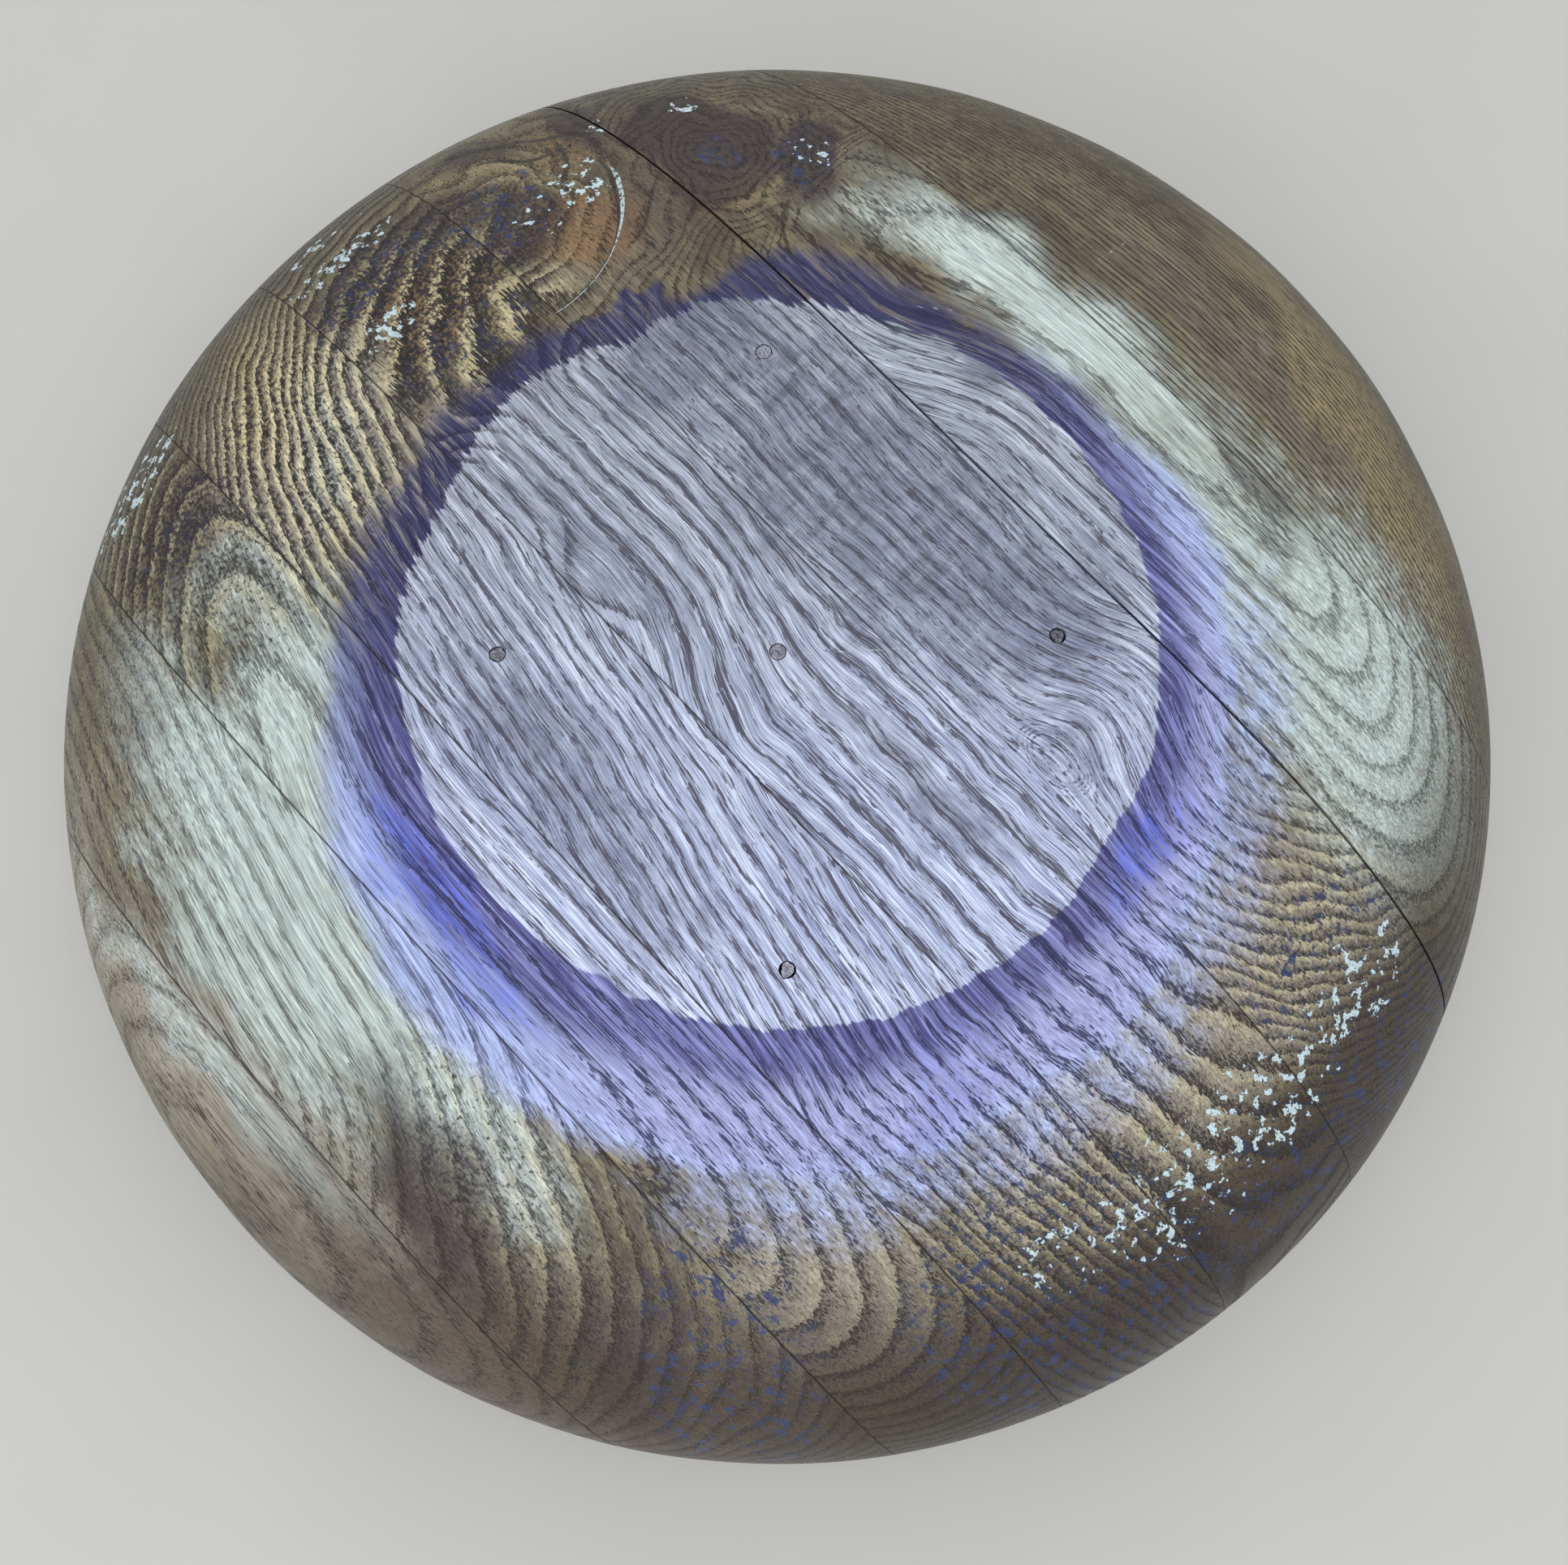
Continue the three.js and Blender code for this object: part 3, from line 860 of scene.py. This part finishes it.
class WoodNodes(Nodes):
    """Shader nodes with the fields, noises and growth rings that all of the wood's look is made from."""

    def __init__(self, name, shift, pore_length, line_strength):
        super().__init__(name)
        self.line_strength = line_strength
        grain = self.field("grain", "Vector")
        self.place = self.scaled(self.node("ShaderNodeTexCoord").outputs["Object"], 1000, 1000, 1000, shift)

        # Noises along the fibres, mm: fine fibres, broader streaks, pores and breaks in the rings.
        self.fine = self.noise(self.scaled(grain, 0.09, 3.2, 3.2, shift))
        self.middle = self.noise(self.scaled(grain, 0.035, 1.0, 1.0, shift + 7), detail=3, roughness=0.6)
        self.streak = self.noise(self.scaled(grain, 0.014, 0.33, 0.33, shift + 11))
        self.pores = self.noise(self.scaled(grain, 1 / pore_length, 2.4, 2.4, shift + 23), detail=1)
        self.lines = self.noise(self.scaled(grain, 0.26 / pore_length, 2.3, 2.3, shift + 41), detail=1)
        self.breaks = self.noise(self.scaled(grain, 0.3, 1.4, 1.4, shift + 31))
        # Noises that the fibres don't lead, from clouds to grit.
        self.mottle = self.noise(self.scaled(self.place, 0.16, 0.16, 0.16, 5), detail=4, roughness=0.65)
        self.speck = self.noise(self.scaled(self.place, 0.33, 0.33, 0.33, 9), detail=2.5, roughness=0.55)
        self.grit = self.noise(self.scaled(self.place, 0.8, 0.8, 0.8, 13), detail=2.5, roughness=0.6)
        self.fine_tone = self.smooth(0.36, 0.64, self.fine)
        self.middle_tone = self.smooth(0.34, 0.66, self.middle)
        self.streak_tone = self.smooth(0.32, 0.68, self.streak)
        self.dots = self.smooth(0.46, 0.52, self.grit)

        # Growth rings: open early wood starts sharply and thins out into dense late wood.
        wavy = self.times(self.centred(self.middle), 0.4)
        wavy = self.plus(wavy, self.times(self.centred(self.breaks), 0.5))
        self.phase = self.math("FRACT", self.plus(self.field("rings"), wavy))
        self.early = self.times(self.smooth(0.0, 0.05, self.phase), self.smooth(0.55, 0.15, self.phase))
        self.line = self.times(self.smooth(0.0, 0.04, self.phase), self.smooth(0.2, 0.08, self.phase))

        # The dye crept under the foot's edge along the fibres, most on the navy side.
        creep = self.plus(3.0, self.times(self.field("navy"), 7.0))
        edge_shift = self.times(self.centred(self.middle), creep)
        self.is_foot = self.smooth(-0.35, 0.35, self.plus(self.field("foot"), edge_shift))

        # Stains follow the grain at their edges.
        ragged = self.times(self.centred(self.middle), 0.7)
        self.ragged = self.plus(ragged, self.times(self.centred(self.mottle), 0.8))

    def centred(self, noise):
        return self.math("SUBTRACT", noise, 0.5)

    def rest_of(self, share):
        return self.math("SUBTRACT", 1.0, share)

    def spread(self, key, amount):
        """A stain's share of the colour, with ragged edges; it also spreads the painted shade and the
        painted sheen.
        """
        edge = self.smooth(0.0, 0.35, self.field(key))
        level = self.math("MULTIPLY_ADD", self.ragged, edge, self.field(key))
        return self.times(self.smooth(0.0, 1.0, level), amount)


def pore_mask(n):
    """Pores gather in the early wood, thin out in patches, and fade where the wood is bleached."""
    cutoff = n.plus(0.70, n.times(n.early, -0.15 * n.line_strength))
    cutoff = n.plus(cutoff, n.times(n.centred(n.streak), 0.14))
    short_pores = n.smooth(n.plus(cutoff, -0.018), n.plus(cutoff, 0.02), n.pores)
    long_pores = n.smooth(n.plus(cutoff, -0.01), n.plus(cutoff, 0.03), n.lines)
    bleached = n.times(n.field("pale"), n.rest_of(n.is_foot))
    strength = n.math("SUBTRACT", 0.88, n.times(bleached, 0.4))
    return n.times(n.math("MAXIMUM", short_pores, long_pores), strength)


def stained_wall(n):
    """Colour of the wall and hollow, with painted shade and sheen near the rim, and how low the wood is in
    worn rings and in pits.
    """
    cloud = n.plus(n.times(n.mottle, 0.35), n.times(n.streak, 0.65))
    wall = n.blend(n.smooth(0.38, 0.62, cloud), OLIVE, OLIVE_DEEP)
    wall = n.blend(n.spread("beige", 0.9), wall, BEIGE)
    # Golden wood, and a painted sheen on the far rim at (46, 166).
    wall = n.blend(n.spread("gold_and_sheen", 0.8), wall, GOLD_AND_SHEEN)
    wall = n.blend(n.spread("pale", 0.95), wall, CREAM)
    wall = n.blend(n.spread("rust", 0.6), wall, RUST)
    # Painted shade: dark brown near the rim on the side away from the window.
    wall = n.blend(n.spread("shade", 0.85), wall, PAINTED_SHADE)
    # Worn end grain: pale crests of late wood, and pitted dark early wood between them.
    ridged = n.field("ridged")
    crest = n.times(n.smooth(0.6, 0.9, n.phase), ridged, 0.75)
    wall = n.blend(n.times(crest, n.rest_of(n.field("shade"))), wall, CREST)
    broken = n.rest_of(n.times(n.rest_of(n.dots), n.times(ridged, 0.8)))
    wall = n.blend(n.times(n.spread("dark", 0.9), broken), wall, STAIN)
    low = n.times(n.smooth(0.0, 0.06, n.phase), n.smooth(0.75, 0.3, n.phase), ridged)
    low = n.times(low, n.plus(0.08, n.times(n.dots, 0.82)))
    wall = n.blend(low, wall, LOW_WOOD)
    pitted = n.field("pitted")
    pits = n.smooth(n.math("SUBTRACT", 0.7, n.times(pitted, 0.2)), 0.72, n.plus(n.grit, 0.04))
    pits = n.times(pits, n.smooth(0.05, 0.3, pitted))
    wall = n.blend(n.times(pits, 0.85), wall, LOW_WOOD)
    return n.blend(n.field("outside"), INSIDE, wall), low, pits


def dyed(n, wall):
    """The wall under its dye ring, streaked where it soaked in and light blue outwards, with painted glints
    of reflected light.
    """
    washed = n.smooth(0.5, 0.72, n.plus(n.times(n.streak, 0.5), n.times(n.middle, 0.5)))
    violet_light = n.math("MAXIMUM", n.times(n.middle_tone, 0.45), washed)
    violet = n.blend(violet_light, DYE_VIOLET, DYE_VIOLET_LIGHT)
    halo = n.blend(n.times(n.field("soft"), 0.8), DYE_HALO, DYE_SOFT)
    violet = n.blend(n.field("deep"), halo, violet)
    navy_light = n.math("MAXIMUM", n.times(n.middle_tone, 0.4), washed)
    navy = n.blend(navy_light, DYE_NAVY, DYE_NAVY_LIGHT)
    dye = n.blend(n.field("navy"), violet, navy)
    # Painted glints: thin bright blue streaks of reflected light on the dye.
    painted_glint = n.times(n.smooth(0.2, 0.7, n.field("painted_glint_share")), n.smooth(0.4, 0.56, n.fine))
    dye = n.blend(n.times(painted_glint, n.plus(0.4, n.times(n.streak_tone, 0.5))), dye, PAINTED_GLINT_BLUE)
    edge = n.smooth(0.0, 0.3, n.field("dye"))
    soaked = n.math("MULTIPLY_ADD", n.ragged, edge, n.field("dye"))
    thin = n.math("MAXIMUM", washed, n.smooth(0.5, 0.62, n.middle))
    thin = n.times(thin, n.field("navy"), 0.55)
    soaked = n.times(n.smooth(0.05, 0.9, soaked), n.math("SUBTRACT", 0.95, thin))
    return n.blend(soaked, wall, dye), soaked


def bare_foot(n):
    """Weathered wood, greyer on one side and lilac on the other, with grime and rippled fibres."""
    light = n.plus(n.times(n.middle_tone, 0.35), n.times(n.fine_tone, 0.25))
    light = n.plus(n.times(n.streak_tone, 0.4), light)
    grey = n.blend(light, FOOT_GREY, FOOT_GREY_LIGHT)
    lilac = n.blend(light, FOOT_LILAC, FOOT_LILAC_LIGHT)
    foot = n.blend(n.field("cool"), grey, lilac)
    dirt = n.smooth(0.15, 1.0, n.plus(n.field("foot_stain"), n.times(n.ragged, 1.1)))
    foot = n.blend(n.times(dirt, n.plus(0.35, n.times(n.mottle, 0.6))), foot, FOOT_STAIN)
    ripples = n.noise(n.scaled(n.place, 0.34, 0.07, 0.07, 3), detail=3)
    bar = n.times(n.smooth(0.54, 0.62, ripples), n.times(n.field("curl"), 0.36))
    return n.blend(bar, foot, PORE_FOOT)


def with_fibres(n, color):
    """Darkens a colour by its fibres and rings, and with painted shade towards the rim."""
    tone = n.plus(0.72, n.times(n.fine_tone, 0.46))
    tone = n.times(tone, n.plus(0.82, n.times(n.middle_tone, 0.26)))
    # Painted shade towards the rim, from the rim field.
    tone = n.times(tone, n.rest_of(n.times(n.field("rim"), 0.42)))
    tone = n.times(tone, n.rest_of(n.times(n.early, 0.17 * n.line_strength)))
    line_depth = n.math("SUBTRACT", 0.28, n.times(n.is_foot, 0.14))
    tone = n.times(tone, n.rest_of(n.times(n.line, n.line_strength, line_depth)))
    grey = n.node("ShaderNodeCombineColor")
    for socket in grey.inputs:
        n.plug(tone, socket)
    return n.blend(1.0, color, grey.outputs[0], "MULTIPLY")


def with_pores(n, color, pore, soaked):
    """Pores filled with grime or dye, and blue filler caught in the worn grain."""
    is_blue = n.smooth(0.2, 0.7, n.field("blue_fleck"))
    blue_pore = n.times(is_blue, n.smooth(0.45, 0.55, n.speck))
    pore_color = n.blend(blue_pore, PORE_WALL, PORE_BLUE)
    pore_color = n.blend(soaked, pore_color, PORE_DYE)
    pore_color = n.blend(n.is_foot, pore_color, PORE_FOOT)
    color = n.blend(pore, color, pore_color)
    blue_grain = n.smooth(0.6, 0.63, n.plus(n.grit, n.times(blue_pore, 0.06)))
    blue_grain = n.times(blue_grain, blue_pore)
    blue_blob = n.smooth(0.71, 0.735, n.plus(n.speck, n.times(n.grit, 0.2)))
    blue_blob = n.times(blue_blob, is_blue)
    blue_chip = n.math("MAXIMUM", n.times(blue_grain, 0.4), n.times(blue_blob, 0.9))
    return n.blend(blue_chip, color, CHIP_BLUE)


def with_marks(n, color):
    """Dirt in the joints and fissures, scratches, the crack and white chips of filler."""
    joint_dirt = n.smooth(n.plus(0.12, n.times(n.breaks, 0.5)), 0.08, n.field("from_joint"))
    color = n.blend(n.times(joint_dirt, 0.7), color, PORE_WALL)
    fissure = n.smooth(n.plus(0.2, n.times(n.breaks, 1.2)), 0.3, n.field("fissure"))
    color = n.blend(n.times(fissure, 0.85), color, PORE_WALL)
    scratched = n.times(n.smooth(0.34, 0.12, n.field("scratch")), n.smooth(0.4, 0.5, n.breaks))
    color = n.blend(n.times(scratched, 0.55), color, FLECK_WHITE)

    is_white = n.field("white_fleck")
    chip = n.smooth(0.745, 0.758, n.plus(n.speck, n.times(is_white, 0.17)))
    chip = n.times(chip, n.smooth(0.3, 0.5, is_white), n.smooth(0.4, 0.44, n.grit))
    width = n.plus(0.35, n.times(n.mottle, 0.8))
    crack = n.smooth(width, n.plus(width, -0.25), n.math("ABSOLUTE", n.field("crack")))
    dark_side = n.smooth(0.9, 0.3, n.math("ABSOLUTE", n.plus(n.field("crack"), 1.6)))
    color = n.blend(n.times(dark_side, 0.8), color, PORE_WALL)
    filled = n.times(crack, 0.8, n.smooth(0.4, 0.48, n.grit))
    white = n.math("MAXIMUM", chip, filled)
    return n.blend(white, color, FLECK_WHITE), white, n.plus(joint_dirt, fissure)


def wood_material(name, shift, pore_length, line_strength):
    """Dyed and lacquered wall with a bare foot. shift moves the noises from board to board."""
    n = WoodNodes(name, shift, pore_length, line_strength)
    pore = pore_mask(n)
    wall, low, pits = stained_wall(n)
    wall, soaked = dyed(n, wall)
    color = n.blend(n.is_foot, wall, bare_foot(n))
    color = with_fibres(n, color)
    color = with_pores(n, color, pore, soaked)
    color, white, dirt = with_marks(n, color)

    roughness = n.plus(0.36, n.times(pore, 0.25), n.times(n.is_foot, 0.38))
    roughness = n.plus(roughness, n.times(n.centred(n.mottle), 0.18))
    height = n.times(pore, -1.0)
    height = n.plus(height, n.times(n.fine_tone, n.plus(0.08, n.times(n.is_foot, 0.25))))
    height = n.plus(height, n.times(n.early, n.plus(-0.35, n.times(n.is_foot, 0.2))))
    for mask, rise in ((low, -0.8), (pits, -0.8), (white, 0.8), (dirt, -0.8)):
        height = n.plus(height, n.times(mask, rise))
    return n.finish(color, roughness, height, WOOD_BUMP, specular=0.3)


def filler_material(name, level):
    """Chalky filler with grit, pits and grime."""
    n = Nodes(name)
    place = n.scaled(n.node("ShaderNodeTexCoord").outputs["Object"], 1000, 1000, 1000, level * 40)
    grit = n.noise(place, scale=2.4, detail=4, roughness=0.7)
    blotch = n.noise(place, scale=0.55, detail=3)
    light = srgb(120 + 110 * level, 122 + 112 * level, 134 + 112 * level)
    shadow = srgb(62 + 50 * level, 60 + 50 * level, 66 + 54 * level)
    color = n.blend(n.smooth(0.35, 0.62, grit), shadow, light)
    color = n.blend(n.times(n.smooth(0.45, 0.7, blotch), 0.5), color, shadow)
    roughness = n.plus(0.7, n.times(grit, 0.25))
    return n.finish(color, roughness, n.plus(grit, blotch), SMALL_BUMP, specular=0.3)


# ---- Build ----

BOARD_SHARP_ANGLE = 38
# How far each board's noises lie from the last one's.
NOISE_STRIDE = 17.0


def build_boards():
    base, outward, faces = turned_mesh()
    x, y, z = base.T
    # The relief fades out above the rim, which stays flat.
    shown = outside_share(x, y, z) * smooth(2.0, 8.0, z)
    for index, (name, ring_function, high_y, low_y, pore_length, line_strength) in enumerate(BOARDS):
        rings, _, _ = ring_function(x, y, z)
        height = relief(x, y, z, rings) * shown
        raised = base + outward * height[:, None]
        board = new_object(name + "_look", make_mesh(name + "_look", raised, faces))
        tool = slab(low_y + half_gap(low_y), high_y - half_gap(high_y))
        cut(board, tool, "INTERSECT")
        for plug_name, plug_x, plug_y, _, raggedness, _ in PLUGS:
            if low_y < plug_y < high_y:
                cut(board, hole_cutter(plug_name, plug_x, plug_y, raggedness), "DIFFERENCE")
        board.data.materials.clear()
        paint_fields(board.data, ring_function)
        shade(board.data, BOARD_SHARP_ANGLE)
        shift = NOISE_STRIDE * index
        material = wood_material(f"stained_wood_{index + 1}", shift, pore_length, line_strength)
        board.data.materials.append(material)
        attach(board, "root")
        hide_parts(name)


def build_plugs():
    for name, x, y, sunk, raggedness, level in PLUGS:
        plug = make_plug(name, x, y, sunk, raggedness)
        label = name.removeprefix("screw_hole_plug")
        plug.data.materials.append(filler_material("wood_filler" + label, level))
        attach(plug, "root")
        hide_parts(name)


# ---- Floor, light and camera ----

def floor_material():
    n = Nodes("pale_floor")
    place = n.node("ShaderNodeTexCoord").outputs["Object"]
    soft = n.noise(place, scale=9, detail=4)
    color = n.blend(soft, srgb(196, 194, 188), srgb(206, 204, 199))
    return n.finish(color, 0.75, soft, SMALL_BUMP, specular=0.2)


FLOOR_REACH = 1400
FLOOR_POINTS = 24


def build_floor():
    axis = np.linspace(-FLOOR_REACH, FLOOR_REACH, FLOOR_POINTS)
    points = [(x, y, 0) for y in axis for x in axis]
    faces = []
    for row in range(FLOOR_POINTS - 1):
        for column in range(FLOOR_POINTS - 1):
            corner = row * FLOOR_POINTS + column
            above = corner + FLOOR_POINTS
            faces.append([corner, corner + 1, above + 1, above])
    floor = new_object("floor", make_mesh("floor", points, faces))
    floor.data.materials.append(floor_material())


# Each light's name, place and target in metres, size in metres, power in watts, and colour.
# The window side is beyond the bowl as the camera sees it.
LIGHTS = (
    ("window", (-0.75, 0.95, 1.05), (0, 0, 0.05), (1.3, 1.0), 4.0, (1.0, 0.97, 0.92)),
    ("top", (0.3, -0.2, 1.6), (0, 0, 0.05), (1.2, 1.2), 5.5, (0.93, 0.95, 1.0)),
    ("near", (0.5, -0.95, 0.7), (0, -0.05, 0.05), (1.4, 0.8), 5.0, (0.97, 0.97, 1.0)),
)
SKY_COLOR = (0.93, 0.96, 1.0, 1)
SKY_STRENGTH = 0.72


def soft_light(name, place, target, size, power, color):
    lamp = bpy.data.lights.new(name, "AREA")
    lamp.shape = "RECTANGLE"
    lamp.size = size[0]
    lamp.size_y = size[1]
    lamp.energy = power
    lamp.color = color
    obj = new_object(name, lamp)
    obj.location = place
    obj.rotation_euler = (Vector(target) - Vector(place)).to_track_quat("-Z", "Y").to_euler()


def build_lights():
    world = bpy.data.worlds.new("studio")
    bpy.context.scene.world = world
    world.use_nodes = True
    background = world.node_tree.nodes["Background"]
    background.inputs["Color"].default_value = SKY_COLOR
    background.inputs["Strength"].default_value = SKY_STRENGTH
    for light in LIGHTS:
        soft_light(*light)


# The camera's place in metres, its directions, and its lens in mm over a 36 mm wide picture.
CAMERA_PLACE = (0.0862, -0.0869, 0.4918)
CAMERA_FORWARD = (-0.15373, 0.16026, -0.97503)
CAMERA_UP = (-0.71122, 0.66707, 0.22177)
CAMERA_LENS = 37.8
CAMERA_SENSOR = 36


def build_camera():
    camera = bpy.data.cameras.new("camera")
    camera.sensor_width = CAMERA_SENSOR
    camera.lens = CAMERA_LENS
    camera.clip_start = 0.01
    obj = new_object("camera", camera)
    forward = Vector(CAMERA_FORWARD).normalized()
    right = forward.cross(Vector(CAMERA_UP)).normalized()
    up = right.cross(forward)
    turn = Matrix((right, up, -forward)).transposed().to_4x4()
    obj.matrix_world = Matrix.Translation(Vector(CAMERA_PLACE)) @ turn
    bpy.context.scene.camera = obj


bpy.context.scene.view_settings.view_transform = "Standard"
build_camera()
build_boards()
build_plugs()
build_floor()
build_lights()
